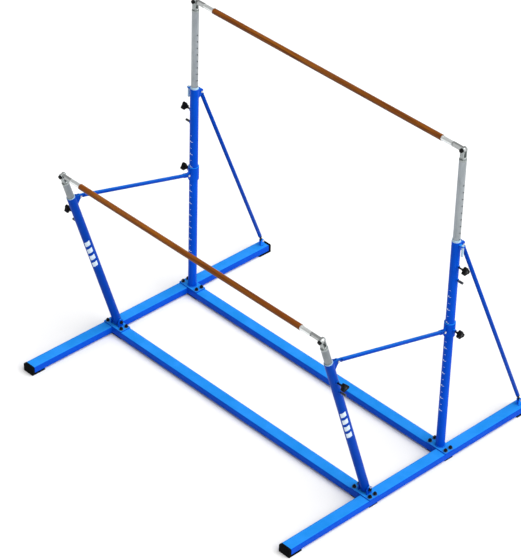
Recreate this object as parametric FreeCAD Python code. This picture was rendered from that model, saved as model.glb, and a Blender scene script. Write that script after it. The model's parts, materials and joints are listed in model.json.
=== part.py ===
import FreeCAD, Part
import math
import os
from FreeCAD import Vector

# Uneven parallel bars: a free-standing steel base carries two upright masts for the high rail
# and two leaning masts for the low rail. Millimetres, +Z up. +X runs along the rails, +Y from
# the low rail to the high rail. The origin is on the floor, under the middle of the base.

# ---- driving dimensions -------------------------------------------------------------------
SPAN = 2400.0                 # pin to pin along a rail, the same for both rails
HALF = SPAN / 2
HIGH_Y = 345.0                # the upright masts
LOW_Y = -355.0                # the feet of the leaning masts

BEAM_W = 90.0                 # rectangular base tube
BEAM_H = 50.0
BEAM_WALL = 3.0
BEAM_CORNER = 8.0
BEAM_Z = 10.0                 # underside of the beams above the floor
BEAM_TOP = BEAM_Z + BEAM_H
SIDE_X = HALF + BEAM_W / 2    # the side beams stand outside the cross beams
SIDE_LENGTH = 2180.0

CAP_T = 20.0                  # rubber end cap: end wall, and the pad under the beam
CAP_LIP = 2.0
CAP_CORNER = 12.0
CAP_PAD = 110.0

PLATE_X = 180.0               # bolted joint plate on top of each corner
PLATE_Y = 88.0
PLATE_T = 8.0
PLATE_TOP = BEAM_TOP + PLATE_T
FOOT_X = 170.0                # rubber pad under each corner
FOOT_Y = 76.0
BOLT_DX = 70.0                # corner bolts from the mast's axis
BOLT_DY = 23.0
BOLT_R = 6.0
BOLT_CLEAR = 0.5
BOLT_NUT_AF = 22.0
BOLT_NUT_H = 11.0
BOLT_STUD_H = 7.0             # threaded end above the nut
WASHER_R = 16.0
WASHER_T = 3.0

OUTER_R = 30.15               # 60.3 mm outer mast tube
OUTER_WALL = 3.6
INNER_R = 24.15               # 48.3 mm inner mast tube
INNER_WALL = 3.2
GAP = 0.35                    # free gap between parts that slide or turn past each other
BUSH_R = OUTER_R - OUTER_WALL - 0.05
BUSH_BORE = INNER_R + GAP
BUSH_FLANGE_R = 28.8
BUSH_FLANGE_T = 4.0
BUSH_DEPTH = 60.0
BUSH_NECK_R = 27.3            # wiper neck above the flange of the upright masts' bushes
BUSH_NECK_TOP = 16.0

HIGH_RIM = 1682.0             # top of the upright outer tubes
HIGH_RAIL_Z = 2350.0
ROD_OUT = 56.0                # short rod hung from a tab outside each upright tube's rim
ROD_BOTTOM = 90.0             # the four distances named below are down from the rim
TAB_BELOW = 12.0
TAB_T = 6.0
TAB_END = 11.0
TAB_WIDTH = 22.0
RIM_ROD_R = 8.0
ROD_NECK_R = 5.0
ROD_BUTTON_T = 4.0
HIGH_INNER_END = 1000.0       # lower end of the upright inner tubes
HIGH_CLAMP_Z = 1500.0
HIGH_PLUNGER_Z = 1400.0
HIGH_UP = 3                   # steps that the rail can still rise
HIGH_DOWN = 14                # index holes above the plunger

LOW_PIVOT_Z = 105.0           # foot hinge of the leaning masts
LEAN = 18.24                  # degrees from upright, towards -Y
LOW_RIM = 1245.0              # the four below are distances along the mast from the foot hinge
LOW_RAIL = 1453.6
LOW_INNER_END = 520.0
LOW_CLAMP = 1075.0
LOW_PLUNGER = 985.0
LOW_UP = 8
LOW_DOWN = 3

HOLE_PITCH = 50.0             # height step
HOLE_R = 5.5
HEAD_DROP = 72.0              # rail pin above the middle of the head's ring
HEAD_RING_T = 12.0
HEAD_PLUG = 60.0
EAR_GAP = 10.0                # half the gap between a head's ears
EAR_T = 6.0
EAR_R = 17.0
PIN_R = 8.0
PIN_FIT = 0.05
KNOB_R = 13.5
KNOB_T = 14.0

WOOD_R = 20.0                 # 40 mm rail
WOOD_HALF = 1021.0
CORE_R = 13.0
CORE_HALF = 940.0
SLEEVE_R = 15.5               # round sleeve between the wood's flange and the eye block
SLEEVE_END = 1104.0
EYE_NECK = 1112.0
EYE_H = 14.5
FLANGE_T = 5.0
FLANGE_R = 17.5
EYE_R = 16.5
EYE_T = 18.0

COLLAR_Z = 1013.0             # sliding collar on the upright masts
COLLAR_H = 100.0
COLLAR_R = 38.0
LINK_Y = 292.0                # strut pin at the collar
LINK_Z = 1011.0
LINK_SLOT_R = 6.2             # the collar's slot lets the strut pin drift as the mast leans
LINK_SLOT_RISE = 0.6
LINK_SLOT_TRAVEL = 6.0
BRACKET_OUT = 64.0            # strut pin at the leaning mast, off its axis and along it
BRACKET_UP = 1201.0
ROD_R = 13.45                 # 26.9 mm tube for struts and braces
ROD_WALL = 2.6
LUG_R = 14.0
LUG_PIN_R = 5.0
LUG_HEADROOM = 12.0           # the brace bracket's plates stand higher than their eye
LUG_GAP = 7.5
LUG_T = 5.0
TONGUE_T = 12.0
END_SETBACK = 34.0
BRACE_EYE_L = 50.0            # from the foot pin up to the end of the brace tube
BRACE_SCREW_R = 7.0
CLEVIS_R = 12.5               # ears of the bracket at a brace's foot
CLEVIS_FOOT = 15.0
CLEVIS_STRIP_T = 4.0

BRACE_TOP = Vector(HALF, 399.0, 1640.0)
BRACE_FOOT = Vector(SIDE_X, 1059.0, 100.0)

CLAMP_KNOB_X = 82.0           # from the mast's axis to the knob's inner face
CLAMP_KNOB_T = 25.0
KNOB_CORE_R = 19.0
KNOB_LOBE_R = 13.0
KNOB_LOBE_OUT = 15.5
SCREW_R = 6.0
SCREW_CLEAR = 0.3
BOSS_R = 13.0
BOSS_OUT = 36.0
PLUNGER_R = 5.0
PLUNGER_SHOULDER = 47.0
PLUNGER_END = 80.0
PLUNGER_GRIP_R = 8.5

X = Vector(1, 0, 0)
Y = Vector(0, 1, 0)
Z = Vector(0, 0, 1)
SIDES = {"left": -1, "right": 1}


# ---- helpers ------------------------------------------------------------------------------
def save(name, *solids):
    shape = solids[0] if len(solids) == 1 else Part.makeCompound(list(solids))
    shape.exportStep("parts/%s.step" % name)


def cylinder(radius, start, end):
    axis = end - start
    return Part.makeCylinder(radius, axis.Length, start, axis)


def cone(radius0, radius1, start, end):
    axis = end - start
    return Part.makeCone(radius0, radius1, axis.Length, start, axis)


def pipe(radius, bore, start, end):
    return cylinder(radius, start, end).cut(cylinder(bore, start, end))


def block(x0, x1, y0, y1, z0, z1):
    corner = Vector(min(x0, x1), min(y0, y1), min(z0, z1))
    return Part.makeBox(abs(x1 - x0), abs(y1 - y0), abs(z1 - z0), corner)


def prism(points, direction):
    """A flat outline, given by its corners, pushed along direction."""
    wire = Part.makePolygon(points + [points[0]])
    return Part.Face(wire).extrude(direction)


def hexagon(across_flats, start, direction):
    radius = across_flats / math.sqrt(3)
    side = direction.cross(X if abs(direction.x) < 0.5 else Y).normalize()
    other = direction.cross(side).normalize()
    points = []
    for step in range(6):
        angle = math.radians(60 * step)
        points.append(start + side * (radius * math.cos(angle)) + other * (radius * math.sin(angle)))
    return prism(points, direction)


def rounded_bar(width, height, corner, length):
    """A rounded rectangular bar along +X, centred on the X axis, starting at x = 0."""
    bar = block(0, length, -width / 2, width / 2, -height / 2, height / 2)
    long_edges = [edge for edge in bar.Edges if abs(edge.BoundBox.XLength - length) < 0.01]
    return bar.makeFillet(corner, long_edges)


def beam(length):
    outer = rounded_bar(BEAM_W, BEAM_H, BEAM_CORNER, length)
    hollow = rounded_bar(
        BEAM_W - 2 * BEAM_WALL, BEAM_H - 2 * BEAM_WALL, BEAM_CORNER - BEAM_WALL, length
    )
    return outer.cut(hollow)


def slot(radius, start, end, travel):
    """A round hole from start to end, drawn out along the travel vector."""
    hole = cylinder(radius, start, end).fuse(cylinder(radius, start + travel, end + travel))
    side = travel.cross(end - start).normalize() * radius
    corners = [start + side, start + travel + side, start + travel - side, start - side]
    return hole.fuse(prism(corners, end - start))


def lean(shape):
    """Puts a shape drawn along +Z from the foot hinge into the leaning mast's place."""
    placed = shape.copy()
    placed.rotate(Vector(0, 0, 0), X, LEAN)
    placed.translate(Vector(0, LOW_Y, LOW_PIVOT_Z))
    return placed


def leaning_point(x, out, along):
    angle = math.radians(LEAN)
    return Vector(
        x,
        LOW_Y + out * math.cos(angle) - along * math.sin(angle),
        LOW_PIVOT_Z + out * math.sin(angle) + along * math.cos(angle),
    )


# ---- base ---------------------------------------------------------------------------------
def corner_points(x, y, z):
    return [Vector(x + dx * BOLT_DX, y + dy * BOLT_DY, z) for dx in (-1, 1) for dy in (-1, 1)]


def all_corners():
    return [(sign * HALF, y) for sign in (-1, 1) for y in (LOW_Y, HIGH_Y)]


def bolt_holes():
    holes = []
    for x, y in all_corners():
        for point in corner_points(x, y, BEAM_Z):
            holes.append(cylinder(BOLT_R + BOLT_CLEAR, point, point + Z * (PLATE_TOP - BEAM_Z)))
    return Part.makeCompound(holes)


def make_beams():
    holes = bolt_holes()
    for side, sign in SIDES.items():
        side_beam = beam(SIDE_LENGTH)
        side_beam.rotate(Vector(0, 0, 0), Z, 90)
        side_beam.translate(Vector(sign * SIDE_X, -SIDE_LENGTH / 2, BEAM_Z + BEAM_H / 2))
        save("side_beam_" + side, side_beam.cut(holes))
    for name, y in (("cross_beam_front", LOW_Y), ("cross_beam_rear", HIGH_Y)):
        cross_beam = beam(SPAN)
        cross_beam.translate(Vector(-HALF, y, BEAM_Z + BEAM_H / 2))
        save(name, cross_beam.cut(holes))


def corner_plate(x, y):
    plate = rounded_plate(x, y, PLATE_X, PLATE_Y, BEAM_TOP, PLATE_T)
    return plate.cut(bolt_holes())


def rounded_plate(x, y, length, width, z, thickness):
    plate = block(
        x - length / 2, x + length / 2, y - width / 2, y + width / 2, z, z + thickness
    )
    upright = [edge for edge in plate.Edges if abs(edge.BoundBox.ZLength - thickness) < 0.01]
    return plate.makeFillet(6.0, upright)


def foot_ears(x):
    """Two ears that hold the foot hinge of a leaning mast."""
    ears = []
    half_width = 22.0
    top_r = 20.0
    for direction in (-1, 1):
        inner = x + direction * (OUTER_R + 2.4)
        outer = inner + direction * 8.0
        ear = block(inner, outer, LOW_Y - half_width, LOW_Y + half_width, PLATE_TOP, LOW_PIVOT_Z)
        eye = cylinder(
            top_r, Vector(inner, LOW_Y, LOW_PIVOT_Z), Vector(outer, LOW_Y, LOW_PIVOT_Z)
        )
        ears.append(ear.fuse(eye))
    return ears


def hinge_line(x, half_length):
    return Vector(x - half_length, LOW_Y, LOW_PIVOT_Z), Vector(x + half_length, LOW_Y, LOW_PIVOT_Z)


def make_plates():
    feet = [rounded_plate(x, y, FOOT_X, FOOT_Y, 0, BEAM_Z) for x, y in all_corners()]
    save("foot_pads", *feet)
    mast_plates = [corner_plate(sign * HALF, HIGH_Y) for sign in SIDES.values()]
    save("high_foot_plates", *mast_plates)
    for side, sign in SIDES.items():
        x = sign * HALF
        low_plate = corner_plate(x, LOW_Y)
        for ear in foot_ears(x):
            low_plate = low_plate.fuse(ear)
        start, end = hinge_line(x, 60.0)
        save("low_foot_plate_" + side, low_plate.cut(cylinder(PIN_R, start, end)).removeSplitter())


def make_base_bolts():
    bolts = []
    for x, y in all_corners():
        for point in corner_points(x, y, BEAM_Z):
            top = point + Z * (PLATE_TOP - BEAM_Z)
            nut_top = top + Z * (WASHER_T + BOLT_NUT_H)
            bolt = cylinder(BOLT_R, point, nut_top + Z * BOLT_STUD_H)
            washer = cylinder(WASHER_R, top, top + Z * WASHER_T)
            nut = hexagon(BOLT_NUT_AF, top + Z * WASHER_T, Z * BOLT_NUT_H)
            bolts.append(bolt.fuse(washer).fuse(nut).removeSplitter())
    save("base_bolts", *bolts)


def make_end_caps():
    half_width = BEAM_W / 2 + CAP_LIP
    for end, y_sign in (("front", -1), ("rear", 1)):
        for side, sign in SIDES.items():
            inner = y_sign * SIDE_LENGTH / 2
            outer = inner + y_sign * CAP_T
            x0 = sign * SIDE_X - half_width
            x1 = sign * SIDE_X + half_width
            wall = block(x0, x1, inner, outer, 0, BEAM_TOP + CAP_LIP)
            upper = [
                edge
                for edge in wall.Edges
                if edge.BoundBox.YLength > CAP_T / 2 and edge.CenterOfMass.z > BEAM_TOP
            ]
            wall = wall.makeFillet(CAP_CORNER, upper)
            face_edges = [
                edge
                for edge in wall.Edges
                if abs(edge.CenterOfMass.y - outer) < 0.01 and edge.CenterOfMass.z > 1.0
            ]
            wall = wall.makeFillet(3.0, face_edges)
            pad = block(x0, x1, inner, outer - y_sign * CAP_PAD, 0, BEAM_Z)
            plug = rounded_bar(
                BEAM_W - 2 * BEAM_WALL - 1.0, BEAM_H - 2 * BEAM_WALL - 1.0, 4.5, 30.0
            )
            plug.rotate(Vector(0, 0, 0), Z, -90 * y_sign)
            plug.translate(Vector(sign * SIDE_X, inner, BEAM_Z + BEAM_H / 2))
            save("end_cap_%s_%s" % (end, side), wall.fuse(pad).fuse(plug).removeSplitter())


# ---- masts --------------------------------------------------------------------------------
def side_boss(sign, z, bore):
    """A round boss on the outward side of an outer tube drawn around the Z axis, and its hole."""
    start = Vector(0, 0, z)
    boss = cylinder(BOSS_R, start + X * (sign * (OUTER_R - 6)), start + X * (sign * BOSS_OUT))
    hole = cylinder(bore, start + X * (sign * (INNER_R - 4)), start + X * (sign * (BOSS_OUT + 1)))
    return boss, hole


def outer_tube(sign, z0, z1, clamp_z, plunger_z):
    tube = cylinder(OUTER_R, Z * z0, Z * z1)
    holes = [cylinder(OUTER_R - OUTER_WALL, Z * z0, Z * z1)]
    for height, bore in ((clamp_z, SCREW_R + SCREW_CLEAR), (plunger_z, PLUNGER_R + SCREW_CLEAR)):
        boss, hole = side_boss(sign, height, bore)
        tube = tube.fuse(boss)
        holes.append(hole)
    return tube.cut(Part.makeCompound(holes[1:])).cut(holes[0]).removeSplitter()


def bush(rim, neck_top=BUSH_FLANGE_T):
    body = cylinder(BUSH_R, Z * (rim - BUSH_DEPTH), Z * rim)
    flange = cylinder(BUSH_FLANGE_R, Z * rim, Z * (rim + BUSH_FLANGE_T))
    body = body.fuse(flange)
    if neck_top > BUSH_FLANGE_T:
        body = body.fuse(cylinder(BUSH_NECK_R, Z * rim, Z * (rim + neck_top)))
    bore = cylinder(BUSH_BORE, Z * (rim - BUSH_DEPTH), Z * (rim + neck_top))
    return body.cut(bore).removeSplitter()


def inner_tube(z0, z1, plunger_z, holes_up, holes_down):
    tube = pipe(INNER_R, INNER_R - INNER_WALL, Z * z0, Z * z1)
    holes = []
    for step in range(-holes_up, holes_down + 1):
        centre = Z * (plunger_z + step * HOLE_PITCH)
        holes.append(cylinder(HOLE_R, centre - X * (INNER_R + 5), centre + X * (INNER_R + 5)))
    return tube.cut(Part.makeCompound(holes))


def head(rail_z, slotted):
    """The cast head that closes an inner tube: plug, ring and two ears for the rail's pin."""
    ring_top = rail_z - HEAD_DROP + HEAD_RING_T / 2
    ring_bottom = ring_top - HEAD_RING_T
    shape = cylinder(INNER_R - INNER_WALL - 0.05, Z * (ring_bottom - HEAD_PLUG), Z * ring_bottom)
    shape = shape.fuse(cylinder(INNER_R + 0.6, Z * ring_bottom, Z * ring_top))
    web_top = ring_top + 12.0
    shape = shape.fuse(block(-15, 15, -EAR_GAP - EAR_T, EAR_GAP + EAR_T, ring_top, web_top))
    for direction in (-1, 1):
        inner = direction * EAR_GAP
        outer = direction * (EAR_GAP + EAR_T)
        shape = shape.fuse(block(-15, 15, inner, outer, ring_top, rail_z))
        pin_line = Vector(0, inner, rail_z), Vector(0, outer, rail_z)
        shape = shape.fuse(cylinder(EAR_R, *pin_line))
    reach = EAR_GAP + EAR_T + 5
    start = Vector(0, -reach, rail_z)
    end = Vector(0, reach, rail_z)
    if slotted:
        bore = slot(PIN_R + GAP, start - X * 0.7, end - X * 0.7, X * 0.9)
    else:
        bore = cylinder(PIN_R + PIN_FIT, start, end)
    return shape.cut(bore).removeSplitter()


def rim_rod_point(sign, below_rim):
    return Vector(sign * ROD_OUT, 0, HIGH_RIM - below_rim)


def rim_tab(sign):
    """Tab near the rim of an upright outer tube, on its outward side, that carries the short rod."""
    middle = sign * (OUTER_R - 2 + ROD_OUT + TAB_END) / 2
    length = ROD_OUT + TAB_END - OUTER_R + 2
    tab = rounded_plate(middle, 0, length, TAB_WIDTH, HIGH_RIM - TAB_BELOW - TAB_T, TAB_T)
    hole_ends = rim_rod_point(sign, TAB_BELOW + TAB_T + 1), rim_rod_point(sign, TAB_BELOW - 1)
    return tab.cut(cylinder(ROD_NECK_R, *hole_ends))


def rim_rod(sign):
    tab_top = rim_rod_point(sign, TAB_BELOW)
    tab_under = rim_rod_point(sign, TAB_BELOW + TAB_T)
    neck = cylinder(ROD_NECK_R, tab_under, tab_top)
    button = cylinder(RIM_ROD_R, tab_top, tab_top + Z * ROD_BUTTON_T)
    rod = cylinder(RIM_ROD_R, rim_rod_point(sign, ROD_BOTTOM), tab_under)
    lower = [edge for edge in rod.Edges if abs(edge.BoundBox.ZMax - HIGH_RIM + ROD_BOTTOM) < 0.01]
    rod = rod.makeFillet(3.0, lower)
    return rod.fuse(neck).fuse(button).removeSplitter()


def gusset_pair(outline, x, gap, thickness):
    """Two upright plates with the same outline, given as (y, z) corners, either side of x."""
    plates = []
    for direction in (-1, 1):
        corners = [Vector(x + direction * gap, y, z) for y, z in outline]
        plates.append(prism(corners, X * (direction * thickness)))
    return plates


def rounded_lug(y, z, x0, x1, radius):
    return cylinder(radius, Vector(x0, y, z), Vector(x1, y, z))


def brace_bracket(x):
    """The two plates welded to an upright mast that hold the top of its brace."""
    root = HIGH_Y + OUTER_R - 2.0
    top = BRACE_TOP.z + LUG_R + LUG_HEADROOM
    outline = [
        (root, top),
        (BRACE_TOP.y, top),
        (BRACE_TOP.y + LUG_R, top - LUG_R),
        (BRACE_TOP.y + LUG_R, BRACE_TOP.z - LUG_R / 2),
        (BRACE_TOP.y - 2, BRACE_TOP.z - 2 * LUG_R),
        (root, BRACE_TOP.z - 3 * LUG_R),
    ]
    plates = gusset_pair(outline, x, LUG_GAP, LUG_T)
    pin_hole = rounded_lug(BRACE_TOP.y, BRACE_TOP.z, x - 30, x + 30, LUG_PIN_R)
    return [plate.cut(pin_hole) for plate in plates]


def make_high_masts():
    bushes = []
    for side, sign in SIDES.items():
        place = Vector(sign * HALF, HIGH_Y, 0)
        post = outer_tube(sign, PLATE_TOP, HIGH_RIM, HIGH_CLAMP_Z, HIGH_PLUNGER_Z)
        post.translate(place)
        tab = rim_tab(sign)
        tab.translate(place)
        for piece in [tab] + brace_bracket(sign * HALF):
            post = post.fuse(piece)
        bore = cylinder(OUTER_R - OUTER_WALL, place + Z * (HIGH_RIM - 400), place + Z * HIGH_RIM)
        save("high_post_" + side, post.cut(bore).removeSplitter())
        ring_bottom = HIGH_RAIL_Z - HEAD_DROP - HEAD_RING_T / 2
        tube = inner_tube(HIGH_INNER_END, ring_bottom, HIGH_PLUNGER_Z, HIGH_UP, HIGH_DOWN)
        pieces = {
            "high_inner_": tube,
            "high_head_": head(HIGH_RAIL_Z, sign > 0),
        }
        for name, shape in pieces.items():
            shape.translate(place)
            save(name + side, shape)
        high_bush = bush(HIGH_RIM, BUSH_NECK_TOP)
        hanging_rod = rim_rod(sign)
        for shape in (high_bush, hanging_rod):
            shape.translate(place)
            bushes.append(shape)
    save("high_bushes", *bushes)


def strut_bracket():
    """The two plates at the top of a leaning mast that hold its strut, drawn along +Z."""
    root = OUTER_R - 2.0
    outline = [
        (root, BRACKET_UP + 30),
        (root + 10, BRACKET_UP + 30),
        (BRACKET_OUT - 4, BRACKET_UP + LUG_R),
        (BRACKET_OUT + 6, BRACKET_UP + LUG_R - 4),
        (BRACKET_OUT + LUG_R, BRACKET_UP),
        (BRACKET_OUT + 6, BRACKET_UP - LUG_R + 2),
        (BRACKET_OUT - 8, BRACKET_UP - LUG_R - 1),
        (root, BRACKET_UP - 40),
    ]
    plates = gusset_pair(outline, 0, LUG_GAP, LUG_T)
    pin_hole = rounded_lug(BRACKET_OUT, BRACKET_UP, -30, 30, LUG_PIN_R + PIN_FIT)
    return [plate.cut(pin_hole) for plate in plates]


def make_low_masts():
    for side, sign in SIDES.items():
        place = X * (sign * HALF)
        post = outer_tube(sign, -20, LOW_RIM, LOW_CLAMP, LOW_PLUNGER)
        for plate in strut_bracket():
            post = post.fuse(plate)
        hinge_tube = pipe(
            PIN_R + 5, PIN_R + PIN_FIT, X * -(OUTER_R + 1.4), X * (OUTER_R + 1.4)
        )
        post = post.cut(cylinder(PIN_R + 4, X * -40, X * 40))
        post = post.cut(cylinder(OUTER_R - OUTER_WALL, Z * 60, Z * LOW_RIM)).fuse(hinge_tube)
        ring_bottom = LOW_RAIL - HEAD_DROP - HEAD_RING_T / 2
        tube = inner_tube(LOW_INNER_END, ring_bottom, LOW_PLUNGER, LOW_UP, LOW_DOWN)
        pieces = {
            "low_post_": post.removeSplitter(),
            "low_bush_": bush(LOW_RIM),
            "low_inner_": tube,
            "low_head_": head(LOW_RAIL, sign > 0),
        }
        for name, shape in pieces.items():
            shape.translate(place)
            save(name + side, lean(shape))


def make_foot_hinge_bolts():
    bolts = []
    for sign in SIDES.values():
        x = sign * HALF
        start, end = hinge_line(x, OUTER_R + 10.4)
        bolt = cylinder(PIN_R, start - X * 8, end + X * 12)
        head_shape = hexagon(22.0, start, X * -9)
        nut = hexagon(22.0, end + X * 1, X * 11)
        bolts.append(bolt.fuse(head_shape).fuse(nut).removeSplitter())
    save("foot_hinge_bolts", *bolts)


# ---- rails --------------------------------------------------------------------------------
def end_fitting(sign, rail_z):
    """Spigot, flange, sleeve and eye block at one end of a rail along X at height rail_z."""
    def at(distance):
        return Vector(sign * distance, 0, rail_z)

    shape = cylinder(CORE_R, at(CORE_HALF), at(WOOD_HALF))
    shape = shape.fuse(cylinder(FLANGE_R, at(WOOD_HALF), at(WOOD_HALF + FLANGE_T)))
    shape = shape.fuse(cone(FLANGE_R, SLEEVE_R, at(WOOD_HALF + FLANGE_T), at(WOOD_HALF + 18)))
    shape = shape.fuse(cylinder(SLEEVE_R, at(WOOD_HALF + FLANGE_T), at(SLEEVE_END)))
    shape = shape.fuse(cone(SLEEVE_R, EYE_H, at(SLEEVE_END), at(EYE_NECK)))
    half_t = EYE_T / 2
    tongue = block(
        sign * (EYE_NECK - 2), sign * HALF, -half_t, half_t, rail_z - EYE_H, rail_z + EYE_H
    )
    eye = cylinder(EYE_R, Vector(sign * HALF, -half_t, rail_z), Vector(sign * HALF, half_t, rail_z))
    shape = shape.fuse(tongue).fuse(eye)
    bore = cylinder(PIN_R, Vector(sign * HALF, -20, rail_z), Vector(sign * HALF, 20, rail_z))
    return shape.cut(bore).removeSplitter()


def rail_pin(x, rail_z):
    """The pin through a head and a rail's eye, with its round knob towards -Y."""
    face = EAR_GAP + EAR_T + 0.5
    shape = cylinder(PIN_R, Vector(x, -face, rail_z), Vector(x, face + 1, rail_z))
    knob_start = Vector(x, -face, rail_z)
    knob = cylinder(KNOB_R, knob_start, knob_start - Y * KNOB_T)
    rim = [edge for edge in knob.Edges if abs(edge.CenterOfMass.y + face + KNOB_T) < 0.01]
    knob = knob.makeFillet(4.0, rim)
    stop = cylinder(KNOB_R - 3, Vector(x, face, rail_z), Vector(x, face + 5, rail_z))
    return shape.fuse(knob).fuse(stop).removeSplitter()


def make_rail(name, rail_z, place):
    core = cylinder(CORE_R, Vector(-CORE_HALF, 0, rail_z), Vector(CORE_HALF, 0, rail_z))
    ends = Vector(-WOOD_HALF, 0, rail_z), Vector(WOOD_HALF, 0, rail_z)
    pieces = {
        "_wood": pipe(WOOD_R, CORE_R, *ends),
        "_core": core,
        "_end_left": end_fitting(-1, rail_z),
        "_end_right": end_fitting(1, rail_z),
    }
    for suffix, shape in pieces.items():
        save(name + suffix, place(shape))
    save(name + "_pins", *[place(rail_pin(sign * HALF, rail_z)) for sign in SIDES.values()])


def to_high_masts(shape):
    placed = shape.copy()
    placed.translate(Y * HIGH_Y)
    return placed


# ---- collars, struts and braces -----------------------------------------------------------
def collar(sign):
    """Sliding collar, with the clamp boss outward and the strut lug towards the low rail."""
    x = sign * HALF
    base = Vector(x, HIGH_Y, COLLAR_Z)
    low = base - Z * (COLLAR_H / 2)
    high = base + Z * (COLLAR_H / 2)
    shape = cylinder(COLLAR_R, low, high)
    boss = cylinder(BOSS_R, base + X * (sign * 33), base + X * (sign * (BOSS_OUT + 14)))
    root = HIGH_Y - COLLAR_R + 3
    outline = [
        (root, LINK_Z + 34),
        (LINK_Y - 8, LINK_Z + 15),
        (LINK_Y - 20, LINK_Z + 5),
        (LINK_Y - 20, LINK_Z - 5),
        (LINK_Y - 8, LINK_Z - 13),
        (root, LINK_Z - 34),
    ]
    lug = prism([Vector(x - 4.5, y, z) for y, z in outline], X * 9)
    shape = shape.fuse(boss).fuse(lug)
    screw_hole = cylinder(
        SCREW_R + SCREW_CLEAR, base + X * (sign * 20), base + X * (sign * (BOSS_OUT + 20))
    )
    shape = shape.cut(cylinder(OUTER_R + GAP + 0.1, low, high)).cut(screw_hole)
    start = Vector(x - 10, LINK_Y, LINK_Z + LINK_SLOT_RISE)
    end = Vector(x + 10, LINK_Y, LINK_Z + LINK_SLOT_RISE)
    return shape.cut(slot(LINK_SLOT_R, start, end, Y * -LINK_SLOT_TRAVEL)).removeSplitter()


def eye_tongue(start, end, half_width, thickness):
    """A flat tongue with a round eye at start, running towards end, its faces square to X."""
    along = (end - start).normalize()
    across = along.cross(X).normalize()
    reach = start + along * (END_SETBACK + 8)
    corners = [
        start + across * half_width,
        reach + across * half_width,
        reach - across * half_width,
        start - across * half_width,
    ]
    shift = X * (thickness / 2)
    flat = prism([corner - shift for corner in corners], X * thickness)
    eye = cylinder(half_width, start - shift, start + shift)
    return flat.fuse(eye).cut(cylinder(LUG_PIN_R, start - X * 20, start + X * 20))


def strut(x):
    """Tube with a tongue at the leaning mast and a two-cheek fork at the collar."""
    mast_end = leaning_point(x, BRACKET_OUT, BRACKET_UP)
    collar_end = Vector(x, LINK_Y, LINK_Z)
    along = (collar_end - mast_end).normalize()
    tube_ends = mast_end + along * END_SETBACK, collar_end - along * END_SETBACK
    tube = pipe(ROD_R, ROD_R - ROD_WALL, *tube_ends)
    shape = tube.fuse(eye_tongue(mast_end, collar_end, 12.0, TONGUE_T))
    fork = eye_tongue(collar_end, mast_end, 12.5, 22.0)
    gap_start = collar_end + along * 30
    gap = eye_gap(gap_start, collar_end - along * (END_SETBACK - 6))
    return shape.fuse(fork.cut(gap)).removeSplitter()


def eye_gap(start, end):
    """The gap between a fork's cheeks, which takes the collar's lug."""
    along = (end - start).normalize()
    across = along.cross(X).normalize() * 30
    corners = [start + across, end + across, end - across, start - across]
    return prism([corner - X * 5.2 for corner in corners], X * 10.4)


def lug_bolt(x, y, z, half_length):
    start = Vector(x - half_length, y, z)
    end = Vector(x + half_length, y, z)
    bolt = cylinder(LUG_PIN_R, start, end)
    bolt_head = hexagon(15.0, start, X * -6)
    nut = hexagon(15.0, end, X * 7)
    return bolt.fuse(bolt_head).fuse(nut).removeSplitter()


def brace_line(sign):
    """The brace's two pins, and the direction from the upper one to the lower one."""
    top = Vector(sign * BRACE_TOP.x, BRACE_TOP.y, BRACE_TOP.z)
    foot = Vector(sign * BRACE_FOOT.x, BRACE_FOOT.y, BRACE_FOOT.z)
    return top, foot, (foot - top).normalize()


def brace(sign):
    """Tube from the top of an upright mast towards the rear end of its side beam."""
    top, foot, along = brace_line(sign)
    tube_end = foot - along * BRACE_EYE_L
    tube = pipe(ROD_R, ROD_R - ROD_WALL, top + along * END_SETBACK, tube_end)
    plug = cylinder(ROD_R - ROD_WALL, tube_end - along * 20, tube_end)
    shape = tube.fuse(plug).fuse(eye_tongue(top, foot, 12.0, TONGUE_T))
    return shape.cut(cylinder(BRACE_SCREW_R, tube_end - along * 21, tube_end)).removeSplitter()


def brace_eye(sign):
    """The screwed eye and its lock nut at the foot of a brace."""
    top, foot, along = brace_line(sign)
    tube_end = foot - along * BRACE_EYE_L
    shape = cylinder(BRACE_SCREW_R, tube_end - along * 15, foot - along * 10)
    shape = shape.fuse(hexagon(22.0, tube_end, along * 12))
    shift = X * (TONGUE_T / 2)
    shape = shape.fuse(cylinder(12.0, foot - shift, foot + shift))
    return shape.cut(cylinder(LUG_PIN_R, foot - X * 20, foot + X * 20)).removeSplitter()


def brace_foot_bracket(sign):
    """A small welded clevis: a foot strip and two ears."""
    x = sign * BRACE_FOOT.x
    y = BRACE_FOOT.y
    strip_top = BEAM_TOP + CLEVIS_STRIP_T
    half_x = LUG_GAP + LUG_T
    shape = block(x - half_x, x + half_x, y - CLEVIS_FOOT, y + CLEVIS_FOOT, BEAM_TOP, strip_top)
    outline = [
        (y - CLEVIS_FOOT, strip_top),
        (y - CLEVIS_R, BRACE_FOOT.z),
        (y + CLEVIS_R, BRACE_FOOT.z),
        (y + CLEVIS_FOOT, strip_top),
    ]
    for plate in gusset_pair(outline, x, LUG_GAP, LUG_T):
        shape = shape.fuse(plate)
    for direction in (-1, 1):
        ear_x = x + direction * LUG_GAP
        eye = rounded_lug(y, BRACE_FOOT.z, ear_x, ear_x + direction * LUG_T, CLEVIS_R)
        shape = shape.fuse(eye)
    return shape.cut(rounded_lug(y, BRACE_FOOT.z, x - 30, x + 30, LUG_PIN_R)).removeSplitter()


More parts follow.
